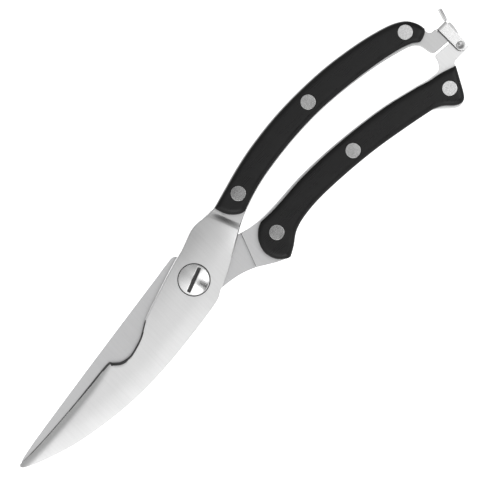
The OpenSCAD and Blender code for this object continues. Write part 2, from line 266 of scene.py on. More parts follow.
def smooth(loop, step, corner_deg=24, fine=None):
    """The loop as a smooth curve through its points, sharp only at its corners."""
    before, after = loop - np.roll(loop, 1, axis=0), np.roll(loop, -1, axis=0) - loop
    span = np.linalg.norm(after, axis=1)
    back = np.linalg.norm(before, axis=1)
    turn = np.degrees(np.abs(np.arctan2(
        before[:, 0] * after[:, 1] - before[:, 1] * after[:, 0],
        np.einsum("ij,ij->i", before, after),
    )))
    pull = (before + after) / (back + span)[:, None]
    found = []
    for i in range(len(loop)):
        j = (i + 1) % len(loop)
        chord = after[i] / span[i]
        leave = chord if turn[i] > corner_deg else pull[i]
        arrive = chord if turn[j] > corner_deg else pull[j]
        wanted = step if fine is None else fine(loop[i], step)
        count = max(1, math.ceil(span[i] / wanted - 1e-6))
        for k in range(count):
            u = k / count
            found.append(
                loop[i] * (1 - 3 * u * u + 2 * u ** 3) + loop[j] * (3 * u * u - 2 * u ** 3)
                + leave * span[i] * (u - 2 * u * u + u ** 3)
                + arrive * span[i] * (u ** 3 - u * u)
            )
    return np.array(found)


def circle(radius, centre=(0, 0), steps=ROUND_STEPS):
    """A closed anticlockwise circle of plan points."""
    turn = np.linspace(0, 2 * math.pi, steps, endpoint=False)
    return np.array(centre) + radius * np.stack([np.cos(turn), np.sin(turn)], axis=1)


def wall_marks(loops):
    """The two lines of an upright wall round each closed loop, which WALL keeps apart."""
    return [(line, True) for loop in loops for line in (loop, loop - WALL * normals(loop))]


def within(loop):
    """The loop midway up such a wall, which tells the two levels apart."""
    return loop - WALL / 2 * normals(loop)


def stepped(level, plan, steps):
    """The level, changed inside each loop to that step's own. None changes nothing."""
    for loop, z in steps:
        if z is not None:
            level = np.where(inside(plan, within(loop)), z, level)
    return level


def edge_drop(inward, width, depth):
    """How far a rounded edge lies under its face, at a distance inward from the outline."""
    share = np.clip(1 - inward / width, 0, 1)
    return depth * (1 - np.sqrt(1 - share * share))


def crown_drop(inward, reach, depth):
    """How far a face bows down towards its outline."""
    return depth * np.clip(1 - inward / reach, 0, 1) ** 2


def fade(value, start, end):
    """0 as far as start and 1 from end on, smooth between, whichever of the two is larger."""
    share = np.clip((value - start) / (end - start), 0, 1)
    return share * share * (3 - 2 * share)


# ---------------------------------------------------------------- solids

def linked(name, data):
    """A new object in the scene."""
    thing = bpy.data.objects.new(name, data)
    bpy.context.scene.collection.objects.link(thing)
    return thing


def add_object(name, node, points, faces, material, sharp_deg=32, others=(), picks=None):
    """A mesh object that stands for a CAD node. picks gives each face's material, 0 for the
    main one and 1 and up for the others, from the faces' middles and normals."""
    mesh = bpy.data.meshes.new(name)
    mesh.from_pydata((np.asarray(points) * MM).tolist(), [], [list(map(int, f)) for f in faces])
    mesh.validate()
    mesh.shade_smooth()
    mesh.set_sharp_from_angle(angle=math.radians(sharp_deg))
    mesh.materials.append(material)
    for other in others:
        mesh.materials.append(other)
    if others:
        middles = np.array([tuple(face.center) for face in mesh.polygons]) / MM
        facing = np.array([tuple(face.normal) for face in mesh.polygons])
        chosen = picks(middles, facing).astype(np.int32)
        mesh.polygons.foreach_set("material_index", chosen)
    piece = linked(name, mesh)
    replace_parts(piece, node)
    return piece


ROWS = (0.03, 0.08, 0.16, 0.28, 0.42, 0.56, 0.72, 0.9, 1.1, 1.4, 1.9, 2.5, 3.2, 4.0)


def plate_mesh(
    loops, top, bottom, rows=ROWS, step=0.6, grid=1.4, marks=(), fine=None, over=False
):
    """A closed solid over a plan outline with holes. top and bottom give a level from points
    and their distance inward from the outline; marks are lines that the mesh keeps. over turns
    the solid over about the plane between the two halves."""
    rings = [smooth(loop, step, fine=fine if i == 0 else None) for i, loop in enumerate(loops)]
    outline = rings[0]
    lines = [(ring, True) for ring in rings] + list(marks)
    low, high = outline.min(0), outline.max(0)
    across = np.arange(low[0], high[0], grid)
    upward = np.arange(low[1], high[1], grid * 0.866)
    mesh_x, mesh_y = np.meshgrid(across, upward)
    mesh_x = mesh_x + (np.arange(len(upward)) % 2)[:, None] * grid / 2
    free = [np.stack([mesh_x.ravel(), mesh_y.ravel()], axis=1)]
    reach = [np.full(len(free[0]), rows[-1] + 0.4 * grid)]
    for row in rows:
        free.append(outline + row * normals(outline))
        reach.append(np.full(len(outline), 0.97 * row))
    free, reach = np.concatenate(free), np.concatenate(reach)
    kept = inside(free, outline)
    free, reach = free[kept], reach[kept]
    kept = distance(free, outline) >= reach
    free = free[kept]
    for ring in rings[1:]:
        free = free[~inside(free, ring) & (distance(free, ring) > 0.25)]
    for line, closed in marks:
        free = free[distance(free, line, closed) > 0.12]
    points, edges = [], []
    for line, closed in lines:
        edges += ring_edges(len(points), len(line), closed)
        points += [tuple(p) for p in line]
    points += [tuple(p) for p in free]
    plan, faces = triangulate(points, edges)
    middle = plan[faces].mean(1)
    kept = inside(middle, outline)
    for ring in rings[1:]:
        kept &= ~inside(middle, ring)
    faces = faces[kept]
    used = np.unique(faces)
    fresh = np.full(len(plan), -1)
    fresh[used] = np.arange(len(used))
    plan, faces = plan[used], fresh[faces]
    inward = distance(plan, outline)
    above, below = top(plan, inward), bottom(plan, inward)
    above = np.maximum(above, below + 0.02)
    count = len(plan)
    solid = np.concatenate([np.column_stack([plan, above]), np.column_stack([plan, below])])
    ways = ways_of(faces)
    shell = [tuple(face) for face in faces] + [tuple(face[::-1] + count) for face in faces]
    shell += [(b, a, a + count, b + count) for a, b in ways if (b, a) not in ways]
    if over:
        solid[:, 2] = 2 * PIVOT_Z - solid[:, 2]
        shell = [face[::-1] for face in shell]
    return solid, shell


def tube_mesh(start, rings, end):
    """A closed solid through rings of points, from a start point to an end point."""
    points = np.concatenate([[start], *rings, [end]])
    sides, last = len(rings[0]), len(points) - 1
    around = [(k, (k + 1) % sides) for k in range(sides)]
    faces = [(0, 1 + b, 1 + a) for a, b in around]
    for here in range(1, last - sides, sides):
        onward = here + sides
        faces += [(here + a, here + b, onward + b, onward + a) for a, b in around]
    faces += [(last - sides + a, last - sides + b, last) for a, b in around]
    return points, faces


def lathe_mesh(profile, centre):
    """A turned solid. The profile is (radius, level) pairs that start and end on the axis."""
    rings = []
    for radius, level in profile[1:-1]:
        plan = circle(radius, centre)
        rings.append(np.column_stack([plan, np.full(len(plan), level)]))
    start, end = [(*centre, level) for level in (profile[0][1], profile[-1][1])]
    return tube_mesh(start, rings, end)


# ---------------------------------------------------------------- materials

class Net:
    """A node tree while it is built. A value is a socket to link or a plain value to set."""

    def __init__(self, tree):
        self.tree = tree

    def give(self, socket, value):
        """A value for a socket."""
        if isinstance(value, bpy.types.NodeSocket):
            self.tree.links.new(value, socket)
        else:
            socket.default_value = value

    def node(self, kind, inputs=(), **settings):
        """A new node with its settings, and with inputs by name or number."""
        node = self.tree.nodes.new("ShaderNode" + kind)
        for name, value in settings.items():
            setattr(node, name, value)
        for key, value in dict(inputs).items():
            self.give(node.inputs[key], value)
        return node

    def math(self, operation, *values):
        """A math node's result."""
        return self.node("Math", enumerate(values), operation=operation).outputs["Value"]

    def spread(self, value, low, high, start=0.3, end=0.7, curve="LINEAR"):
        """A value taken from one range to another."""
        inputs = {"Value": value, "From Min": start, "From Max": end, "To Min": low, "To Max": high}
        return self.node("MapRange", inputs, interpolation_type=curve).outputs["Result"]

    def noise(self, coordinates, size_mm, detail=2.0, turn_deg=0.0):
        """Noise whose features measure size_mm, a length for each axis."""
        place = self.node("Mapping", {
            "Vector": coordinates,
            "Rotation": (0, 0, math.radians(turn_deg)),
            "Scale": [1 / (length * MM) for length in size_mm],
        }).outputs["Vector"]
        texture = self.node("TexNoise", {"Vector": place, "Scale": 1.0, "Detail": detail})
        return texture.outputs["Fac"]

    def mixed(self, value, colour_a, colour_b):
        """A colour between two, by a value; either colour may be a socket."""
        mix = self.node("Mix", {"Factor": value}, data_type="RGBA")
        for name, colour in (("A", colour_a), ("B", colour_b)):
            socket = next(s for s in mix.inputs if s.name == name and s.type == "RGBA")
            plain = not isinstance(colour, bpy.types.NodeSocket)
            self.give(socket, (*colour, 1) if plain else colour)
        return next(s for s in mix.outputs if s.type == "RGBA")

    def ridges(self, amount):
        """Rises to an amount on the mesh's outer edges."""
        pointiness = self.node("NewGeometry").outputs["Pointiness"]
        return self.spread(pointiness, 0, amount, 0.53, 0.62)

    def bump(self, shader, height, depth_mm, strength, under=None):
        """Relief from a height value, on top of an earlier relief's normal."""
        inputs = {"Strength": strength, "Distance": depth_mm * MM, "Height": height}
        if under is not None:
            inputs["Normal"] = under
        normal = self.node("Bump", inputs).outputs["Normal"]
        self.give(shader.inputs["Normal"], normal)
        return normal


def new_material(name):
    """An empty node material: (material, net, principled shader, object coordinates)."""
    material = bpy.data.materials.new(name)
    material.use_nodes = True
    net = Net(material.node_tree)
    shader = material.node_tree.nodes["Principled BSDF"]
    return material, net, shader, net.node("TexCoord").outputs["Object"]


def shade(colour, factor):
    """A lighter or darker colour."""
    return [min(1.0, c * factor) for c in colour]


STROKE_DEPTH = 0.002  # of the grinding strokes in steel
WORN = 1.1  # how much brighter a worn ridge is


def steel(name, base, rough, grain, turn_deg=0.0, tint=0.03, wear=0.5):
    """Ground steel: fine strokes, a broader unevenness and slightly brighter worn ridges."""
    material, net, shader, coordinates = new_material(name)
    strokes = net.noise(coordinates, grain, 3.0, turn_deg)
    broad = net.noise(coordinates, [5 * g for g in grain], 2.0, turn_deg)
    cloud = net.noise(coordinates, (9.0,) * 3)
    colour = net.mixed(net.spread(broad, 0, 1), shade(base, 1 - tint), shade(base, 1 + tint))
    if wear > 0:
        colour = net.mixed(net.ridges(wear), colour, shade(base, WORN))
    net.give(shader.inputs["Base Color"], colour)
    shader.inputs["Metallic"].default_value = 1.0
    cloudy = net.spread(cloud, rough - 0.02, rough + 0.02)
    roughness = net.math("ADD", net.spread(strokes, -0.03, 0.03), cloudy)
    net.give(shader.inputs["Roughness"], roughness)
    first = net.bump(shader, broad, STROKE_DEPTH * 1.5, 0.4)
    net.bump(shader, strokes, STROKE_DEPTH, 0.6, first)
    return material


def plastic(name, base, rough):
    """Satin black moulded plastic: fine pebbled grain, faint clouds and rubbed edges."""
    material, net, shader, coordinates = new_material(name)
    pebble = net.noise(coordinates, (0.22,) * 3, 3.0)
    cloud = net.noise(coordinates, (6.0,) * 3, 3.0)
    scuff = net.noise(coordinates, (14.0, 0.5, 6.0), 4.0, 12)
    colour = net.mixed(net.spread(cloud, 0, 1), base, shade(base, 1.6))
    colour = net.mixed(net.ridges(1), colour, shade(base, 2.4))
    net.give(shader.inputs["Base Color"], colour)
    scuffed = net.spread(scuff, rough + 0.04, rough - 0.05)
    roughness = net.math("ADD", net.spread(cloud, -0.03, 0.03), scuffed)
    net.give(shader.inputs["Roughness"], roughness)
    shader.inputs["Specular IOR Level"].default_value = 0.38
    net.bump(shader, pebble, 0.012, 0.5)
    return material


def even(value):
    """The same value three times, for a neutral colour or an even grain."""
    return (value,) * 3


GROUND = (0.15, 4.0, 4.0)  # long strokes across a ground face, in millimetres
BLADE = steel("ground_steel", even(0.85), 0.38, GROUND, -8, tint=0.02)
# The rear half's steel, painted darker than the front half's as painted shade from the front half
# over it; also painted shade on the clasp tab's edges.
SHADED_BEHIND = steel("ground_steel_painted_shade", (0.70, 0.70, 0.705), 0.38, GROUND, 10, tint=0.02)
# The front half's tang: the same steel painted darker, as painted shade from the scales beside it.
SHADED_TANG = steel("tang_steel_painted_shade", even(0.71), 0.38, GROUND, -8, tint=0.02)
# The rear half's lug: the same steel painted lighter, as painted light towards the handle end.
LIT_LUG = steel("lug_steel_painted_light", even(0.94), 0.36, GROUND, 10, tint=0.02)
RIVET = steel("rivet_metal", even(0.75), 0.16, even(0.13), tint=0.1, wear=0)
SCREW = steel("polished_steel", even(0.93), 0.22, (0.3, 2.0, 2.0), wear=0)
# The screw slot's steel, painted near-black as painted shade in the recess.
SHADED_SLOT = steel("slot_steel_painted_shade", even(0.10), 0.45, (0.1, 0.5, 0.5), tint=0.3, wear=0)
NUT = steel("turned_steel", even(0.78), 0.22, (0.12, 3.0, 3.0))
SHEET = steel("clasp_steel", even(0.97), 0.2, even(0.25), tint=0.02, wear=0)
# Near-black steel: painted shade on walls, recesses and edges that lie in shadow, and in the gap
# beside the clasp's cheek.
SHADE_BLACK = steel("painted_shade_steel", even(0.10), 0.5, (0.5, 0.5, 0.08), tint=0.25, wear=0)
# The same steel painted darker, as painted shade, for upright walls and the clasp tab's faces.
SHADED_WALL = steel("painted_shade_wall_steel", even(0.52), 0.42, (0.1, 0.1, 3.0), tint=0.08)
SPRING = steel("spring_wire_steel", (0.42, 0.43, 0.45), 0.25, even(0.1), wear=0)
PIN = steel("pin_steel", even(0.5), 0.28, even(0.2), wear=0)
SCALE = plastic("black_scale_plastic", (0.004, 0.004, 0.0042), 0.31)


# ---------------------------------------------------------------- forged halves

TAPER_X = -9.0  # the blades are full thickness up to here
TAPER_SOFT = 10.0  # and the taper comes in over this length
TIP_T = 1.6
DIP, DIP_BEFORE = 0.8, 12.0  # the ricasso thins by this much over this length before it
ROLL_BEFORE = 0.6  # the shoulder starts to roll over this far before its line
ROLL_AFTER = 2.2  # and reaches the tang this far past it
ROLL_POWER = 1.5  # and steepens on the way
ROLL_SOFT = 0.6  # how far that gives way to an even curve
SHOULDER_RUN = 0.35  # plan width of the step up to the tang on the shear side
SHEAR_EDGE = 0.1  # rounding of every edge on the shear side
EDGE_LEFT = 0.25  # thickness that a ground edge keeps
FULL_DEPTH = 9.0  # more than any blade is thick, for an edge ground all the way
LUG_START = 110.0  # the rear half's steel is painted lighter past here, as painted light, under the scales


def soft_ramp(distance_in, soft):
    """0 before the start, then the distance itself, joined smoothly."""
    u = np.clip(distance_in / soft, -1, 1)
    return np.where(distance_in > soft, distance_in, soft * (u + 1) ** 2 / 4)


class Half:
    """The plan and levels of one forged half, seen with its flat shear face underneath."""

    def __init__(self, node, over):
        self.node, self.over = node, over
        shear = [z for z in flat_levels(node, over) if self.front(z) > PIVOT_Z][0]
        blade = flat_loops(node, shear, over)[0]
        tang, *holes = flat_loops(node, TANG_TOP if over else TANG_LOW, over)
        self.rivet_holes = [loop for loop in holes if abs(area_of(loop)) > 1]
        shared = blade[distance(blade, tang) < 0.02]
        self.shoulder = shared[[shared[:, 1].argmax(), shared[:, 1].argmin()]]
        way = self.shoulder[1] - self.shoulder[0]
        self.long = np.linalg.norm(way)
        self.way = way / self.long
        self.normal = np.array([-self.way[1], self.way[0]])
        self.outline = outer_loop([blade, tang, self.seam()])
        self.tip_x = self.outline[:, 0].min()
        self.base = self.front(shear)
        self.face = self.front(box(node)[0][2] if over else box(node)[1][2])

    def front(self, z):
        """A level as the front half has it."""
        return 2 * PIVOT_Z - z if self.over else z

    def seam(self):
        """A narrow strip over the shoulder line, where blade and tang barely meet."""
        side, inset = 0.08 * self.normal, 0.03 * self.way
        start, end = self.shoulder[0] + inset, self.shoulder[1] - inset
        return np.array([start + side, start - side, end - side, end + side])

    def past_shoulder(self, plan):
        """Distance past the shoulder line, towards the handle."""
        return (plan - self.shoulder[0]) @ self.normal

    def shoulder_line(self, past):
        """The shoulder line moved towards the handle, and long enough to cross the outline."""
        along = np.arange(-2.0, self.long + 2.0, 0.5)[:, None]
        return self.shoulder[0] + past * self.normal + along * self.way


def forged_half(
    name, half, steps, holes, blade_drop, edge_width, edge_depth, fine, material, painted_shade_faces,
    painted_tone_steel, in_painted_tone
):
    """One forged half: blade, ricasso and tang. steps are (loop, level of the shear side, level
    of the outer side), each None where it isn't changed; holes are loops that go through.
    The last two arguments are a copy of the steel with painted shade (the front half's tang) or
    painted light (the rear half's lug), and the test for the part that gets it."""
    shares = (0, 0.15, 0.3, 0.45, 0.75, 0.9, 1)
    across = [share * (ROLL_BEFORE + ROLL_AFTER) - ROLL_BEFORE for share in shares]
    lines = [(half.shoulder_line(past), False) for past in [-SHOULDER_RUN, 0] + across]
    lines += wall_marks([loop for loop, _, _ in steps])

    def under(plan, inward):
        past = half.past_shoulder(plan)
        level = np.where(past > -SHOULDER_RUN / 2, TANG_LOW, half.base)
        level = level + edge_drop(inward, SHEAR_EDGE, SHEAR_EDGE)
        return stepped(level, plan, [(loop, low) for loop, low, _ in steps])

    def over(plan, inward):
        past = half.past_shoulder(plan)
        dip = DIP * np.clip((past + DIP_BEFORE) / DIP_BEFORE, 0, 1) ** 2
        share = np.clip((past + ROLL_BEFORE) / (ROLL_BEFORE + ROLL_AFTER), 0, 1)
        roll = (1 - ROLL_SOFT) * share ** ROLL_POWER + ROLL_SOFT * fade(share, 0, 1)
        level = (half.face - blade_drop(plan, inward) - dip) * (1 - roll) + TANG_TOP * roll
        width, depth = edge_width(plan), edge_depth(plan)
        side = np.where(past > 0, TANG_LOW, half.base)
        room = np.maximum(level - side - EDGE_LEFT, 0.02)
        level = level - edge_drop(inward, width, np.minimum(depth, room))
        return stepped(level, plan, [(loop, high) for loop, _, high in steps])

    loops = [half.outline] + half.rivet_holes + holes
    solid, faces = plate_mesh(loops, over, under, marks=lines, fine=fine, over=half.over)

    # Painted shade: near-black on the shear side's step and on the faces that the piece picks, darker
    # steel on the other upright walls; a copy painted darker or lighter on the part that the last
    # test tells.
    def dark(middles, facing):
        up = -facing[:, 2] if half.over else facing[:, 2]
        past = half.past_shoulder(middles[:, :2])
        shear_step = (past > -SHOULDER_RUN) & (past < 0) & (np.abs(up) < 0.5)
        in_painted_shade = shear_step | painted_shade_faces(middles[:, :2], up)
        plain = np.where(in_painted_tone(middles[:, :2]), 3, 0)
        return np.where(in_painted_shade, 1, np.where(np.abs(up) < 0.35, 2, plain))

    return add_object(
        name, half.node, solid, faces, material, others=[SHADE_BLACK, SHADED_WALL, painted_tone_steel], picks=dark
    )


BEVEL_TILT = math.tan(math.radians(24))
BAND_SOFT = 1.1  # the band meets the face over this width
BAND_START, BAND_GROW, BAND_SHRINK, BAND_RUN = 1.1, 1.8, 0.45, 0.12
GROOVE_PITCH, GROOVE_DEPTH, GROOVE_REACH = 1.1, 0.2, 2.4
GROOVE_SLANT = 0.5  # how far the marks lean along the edge, for each step away from it


def taper_drop(half, plan):
    """The drop of the blade's face towards the tip."""
    run = soft_ramp(TAPER_X - plan[:, 0], TAPER_SOFT)
    return run * (half.face - half.base - TIP_T) / (TAPER_X - half.tip_x)


def stretch(loop, keep):
    """The points of a loop that a test keeps, in order of x."""
    points = loop[keep(loop[:, 0], loop[:, 1])]
    return points[np.argsort(points[:, 0])]


def bevel_drop(half, plan, edge, heel_x):
    """A ground band along a cutting edge, which narrows towards its heel."""
    inward = distance(plan, edge, closed=False)
    share = np.clip((plan[:, 0] - heel_x) / (half.tip_x - heel_x), 0, 1)
    band = BAND_START + BAND_GROW * (1 - np.exp(-share / BAND_RUN)) - BAND_SHRINK * share
    return BEVEL_TILT * soft_ramp(band - inward, BAND_SOFT), inward


NOTCH_X = -48.0  # the bone notch's heel
RIM_SIDE_Y = -4.2  # the notched side lies past here
GROOVES = (-95.0, -54.0)  # the grinding marks run between these
BELLY_REACH, BELLY_DEPTH = 9, 0.5  # the crown along the belly
RICASSO_REACH, RICASSO_DEPTH = 8, 0.5  # and round the ricasso
LEAN_START, LEAN_REACH, LEAN_DEPTH = -2, 13, 0.9  # how the ricasso leans to its notched side
PAST_NOTCH = (-32, -24)  # the notch's wide rounding fades out between these
GROUND_RIM = (0.95, 0.3)  # width of the ground edge's rounding, at the notch and at the tip
NOTCH_RIM, NOTCH_RIM_HEEL, NOTCH_RIM_DEPTH = 0.7, 1.0, 1.6  # rounding of the notch, more at its heel
RICASSO_RIM = 0.5  # and of the ricasso's notched side
FINE_EDGE = 0.14  # and of the other edges


def front_piece():
    """The front half, with its bone notch, counterbore and spring room."""
    half = Half("front_blade", False)
    counter_z = flat_levels("front_blade", True)[2]
    room_z = flat_levels("front_blade", False)[2]
    counterbore = flat_loops("front_blade", counter_z, True)
    room = flat_loops("front_blade", room_z, False)
    steps = [(counterbore[0], None, counter_z), (room[0], room_z, None)]
    edge = stretch(half.outline, lambda x, y: (x < NOTCH_X + 0.1) & (y > -3.2))
    belly = stretch(half.outline, lambda x, y: (x < 6) & (y < -4.0))

    def grooves(plan, from_edge):
        slant = plan[:, 0] - GROOVE_SLANT * from_edge
        lines = 0.5 + 0.5 * np.cos(2 * math.pi * slant / GROOVE_PITCH)
        where = fade(plan[:, 0], GROOVES[1], GROOVES[1] - 4)
        where = where * fade(plan[:, 0], GROOVES[0], GROOVES[0] + 8)
        return GROOVE_DEPTH * lines * where * np.clip(1 - from_edge / GROOVE_REACH, 0, 1)

    def lean(plan):
        side = np.clip((plan[:, 1] - LEAN_START) / LEAN_REACH, 0, 2)
        down = LEAN_DEPTH * np.where(side < 1, side ** 2, 2 * side - 1) * fade(plan[:, 0], -14, 12)
        return down * (1 - 0.5 * fade(half.past_shoulder(plan), -9, 0))

    def drop(plan, inward):
        from_belly = distance(plan, belly, closed=False)
        crown = crown_drop(from_belly, BELLY_REACH, BELLY_DEPTH) * fade(plan[:, 0], 0, -30)
        ricasso = crown_drop(inward, RICASSO_REACH, RICASSO_DEPTH) * fade(plan[:, 0], -34, -8)
        band, from_edge = bevel_drop(half, plan, edge, NOTCH_X)
        band = band * fade(plan[:, 0], NOTCH_X + 1.5, NOTCH_X - 1)
        level = taper_drop(half, plan) + crown + ricasso + lean(plan)
        return level + band + grooves(plan, from_edge)

    def on_edge(plan):
        return (plan[:, 0] < NOTCH_X + 0.4) & (distance(plan, edge, closed=False) < 1.2)

    def past_notch(plan):
        return fade(plan[:, 0], *PAST_NOTCH)

    def in_notch(plan):
        notched = (plan[:, 0] > NOTCH_X - 0.4) & (plan[:, 1] > RIM_SIDE_Y)
        return np.where(notched, 1 - past_notch(plan), 0)

    def rounded_rim(plan):
        rim = (plan[:, 1] > RIM_SIDE_Y) & (plan[:, 0] > NOTCH_X)
        return np.where(rim, past_notch(plan) * fade(plan[:, 0], 34, 28), 0)

    def width(plan):
        heel = fade(plan[:, 0], -38, -47)
        start, end = GROUND_RIM
        ground = start + (end - start) * fade(plan[:, 0], NOTCH_X, -80)
        notch = (NOTCH_RIM + NOTCH_RIM_HEEL * heel) * in_notch(plan)
        other = FINE_EDGE + notch + RICASSO_RIM * rounded_rim(plan)
        return np.where(on_edge(plan), ground, other)

    def depth(plan):
        other = FINE_EDGE + NOTCH_RIM_DEPTH * in_notch(plan) + RICASSO_RIM * rounded_rim(plan)
        return np.where(on_edge(plan), FULL_DEPTH, other)

    def fine(at, step):
        ground = GROOVES[0] < at[0] < GROOVES[1] and at[1] > -3.2
        return GROOVE_PITCH / 5 if ground else step

    # Painted shade: the notch's and the ground edge's walls, and the counterbore's floor, in
    # near-black steel.
    def painted_shade_faces(plan, up):
        walls = ((in_notch(plan) > 0.1) & (up < 0.93)) | (on_edge(plan) & (up < 0.8))
        bottom = inside(plan, counterbore[0]) & (up > 0.5)
        return (walls & (up > -0.5)) | bottom

    return forged_half(
        "front_blade_forging", half, steps, [counterbore[1]], drop, width, depth, fine, BLADE,
        painted_shade_faces, SHADED_TANG, lambda plan: half.past_shoulder(plan) > ROLL_AFTER - 0.2
    )


HEEL_X = -25.0  # where the rear cutting edge starts
REAR_EDGE, REAR_RIM = 0.34, 0.35  # rounding of that edge and of the others


def rear_piece():
    """The rear half, with its keyed hole and spring room."""
    half = Half("rear_blade", True)
    room_z = flat_levels("rear_blade", True)[2]
    room = flat_loops("rear_blade", room_z, True)
    steps = [(room[0], half.front(room_z), None)]
    edge = stretch(half.outline, lambda x, y: (x < HEEL_X + 0.1) & (y < -4.4))

    def drop(plan, inward):
        band, _ = bevel_drop(half, plan, edge, HEEL_X)
        return taper_drop(half, plan) + band * fade(plan[:, 0], HEEL_X + 1, HEEL_X - 3)

    def on_edge(plan):
        return (plan[:, 0] < HEEL_X) & (distance(plan, edge, closed=False) < 1.2)

    def width(plan):
        return np.where(on_edge(plan), REAR_EDGE, REAR_RIM)

    def depth(plan):
        return np.where(on_edge(plan), FULL_DEPTH, REAR_RIM)

    # Painted shade: the rear cutting edge's walls in near-black steel.
    def painted_shade_faces(plan, up):
        return on_edge(plan) & (np.abs(up) < 0.5)

    return forged_half(
        "rear_blade_forging", half, steps, [room[1]], drop, width, depth, None, SHADED_BEHIND,
        painted_shade_faces, LIT_LUG, lambda plan: plan[:, 0] > LUG_START
    )


# ---------------------------------------------------------------- scales and rivets

SCALE_EDGE_WIDTH, SCALE_EDGE_DEPTH, SCALE_CROWN = 2.3, 1.25, 0.05
SCALE_INSET = {"upper": (0.36, 0.3), "lower": (0.34, 0.1)}  # on the +Y side and the other
RIVET_EDGE = 0.06


def scale_piece(handle, side):
    """One moulded scale, with a round edge on its outer face and the rivets' counterbores."""
    node = f"{handle}_scale_{side}"
    over = side == "back"
    inner_z = TANG_LOW if over else TANG_TOP
    loops = flat_loops(node, inner_z, over)
    floor_z = flat_levels(node, not over)[1]
    cups = [loop for loop in flat_loops(node, floor_z, not over) if area_of(loop) > 20]
    if over:
        floor_z = 2 * PIVOT_Z - floor_z
    normal = normals(loops[0])
    outer, inner = SCALE_INSET[handle]
    inset = outer * np.clip(-normal[:, 1], 0, 1) ** 0.5 + inner * np.clip(normal[:, 1], 0, 1) ** 0.5
    outline = loops[0] + normal * inset[:, None]

    def top(plan, inward):
        crown = crown_drop(inward, 5, SCALE_CROWN)
        level = HANDLE_TOP - crown - edge_drop(inward, SCALE_EDGE_WIDTH, SCALE_EDGE_DEPTH)
        return stepped(level, plan, [(cup, floor_z) for cup in cups])

    def bottom(plan, inward):
        return TANG_TOP + edge_drop(inward, 0.12, 0.12)

    solid, faces = plate_mesh([outline] + loops[1:], top, bottom, marks=wall_marks(cups), over=over)
    return add_object(f"{handle}_scale_{side}_moulding", node, solid, faces, SCALE)


def rivet_pieces(handle, i):
    """One rivet: a pin from the front pressed into a tube from the back."""
    pin, tube = f"{handle}_rivet_pin_{i}", f"{handle}_rivet_tube_{i}"
    low, high, centre, head_r = round_box(pin)
    tube_low, tube_high = box(tube)
    pin_head = max(z for z in flat_levels(pin, False) if z > low[2] + 1)
    tube_head = min(z for z in flat_levels(tube, True) if z > 0.7)
    floor_z = min(flat_levels(tube, True))
    shank_r = radius_of(flat_loops(pin, low[2], False)[0])
    tube_r = radius_of(flat_loops(tube, tube_high[2], True)[0])
    bore_r = shank_r + 0.01

    def head(face_z, inner_z, way):
        """A head's profile from the middle of its face out and round to its underside."""
        face = [(share * head_r, face_z) for share in (0, 0.2, 0.5, 0.8)]
        edge = [(-2, 0), (-1, 0), (-0.3, 0.3), (0, 1)]
        edge = [(head_r + RIVET_EDGE * out, face_z + way * RIVET_EDGE * up) for out, up in edge]
        return face + edge + [(head_r, inner_z)]

    shank = [(0, low[2]), (shank_r - 0.15, low[2]), (shank_r, low[2] + 0.15), (shank_r, pin_head)]
    bore = [(tube_r, tube_head), (tube_r, tube_high[2]), (bore_r, tube_high[2]), (bore_r, floor_z)]
    pin_profile = shank + head(high[2], pin_head, -1)[::-1]
    tube_profile = head(tube_low[2], tube_head, 1) + bore + [(0, floor_z)]
    for node, profile in ((pin, pin_profile), (tube, tube_profile)):
        solid, faces = lathe_mesh(profile, centre=centre)
        add_object(node + "_turned", node, solid, faces, RIVET)


# ---------------------------------------------------------------- pivot

SLOT_WIDER = 0.08  # burnished open on each side
SLOT_RIM, SLOT_RIM_DROP = 0.2, 0.12  # rounding of the slot's rim
DOME_DROP, DOME_EDGE = 0.95, 0.18  # fall of the screw's head to its rim, and that rim's rounding


def screw_piece():
    """The pivot screw: a polished dome with a slot, and its shank."""
    node = "pivot_screw"
    low, high, _, head_r = round_box(node)
    seat_z = max(z for z in flat_levels(node, False) if z > low[2] + 1)
    floor_z = flat_levels(node, True)[0]
    slot = smooth(flat_loops(node, floor_z, True)[0], 0.4)
    slot = slot - SLOT_WIDER * normals(slot)
    dome_r = (head_r ** 2 + DOME_DROP ** 2) / (2 * DOME_DROP)
    shank = flat_loops(node, low[2], False)[0]
    marks = wall_marks([shank, slot])
    for out in (0.06, 0.12, 0.2, 0.35, 0.6):
        marks.append((slot - (WALL + out) * normals(slot), True))

    def top(plan, inward):
        r2 = np.minimum((plan ** 2).sum(1), head_r ** 2)
        level = high[2] - dome_r + np.sqrt(dome_r ** 2 - r2) - edge_drop(inward, DOME_EDGE, DOME_EDGE)
        out = distance(plan, slot) - WALL
        rim = edge_drop(np.maximum(out, 0), SLOT_RIM, SLOT_RIM_DROP)
        return stepped(level - np.where(out < SLOT_RIM, rim, 0), plan, [(slot, floor_z)])

    def bottom(plan, inward):
        return stepped(np.full(len(plan), seat_z), plan, [(shank, low[2])])

    outline = circle(head_r, steps=2 * ROUND_STEPS)
    solid, faces = plate_mesh(
        [outline], top, bottom, rows=(0.02, 0.05, 0.1, 0.18, 0.3, 0.6), step=0.5, grid=0.45,
        marks=marks
    )

    # The slot's walls and floor get the near-black steel: painted shade in the recess.
    def in_slot(middles, facing):
        return inside(middles[:, :2], slot - WALL * normals(slot)) & (middles[:, 2] > seat_z)

    return add_object(
        "pivot_screw_polished", node, solid, faces, SCREW, others=[SHADED_SLOT], picks=in_slot
    )


RING_R, RING_DEPTH, RING_SOFT = 4.4, 0.12, 0.22  # the turned ring in the nut's head


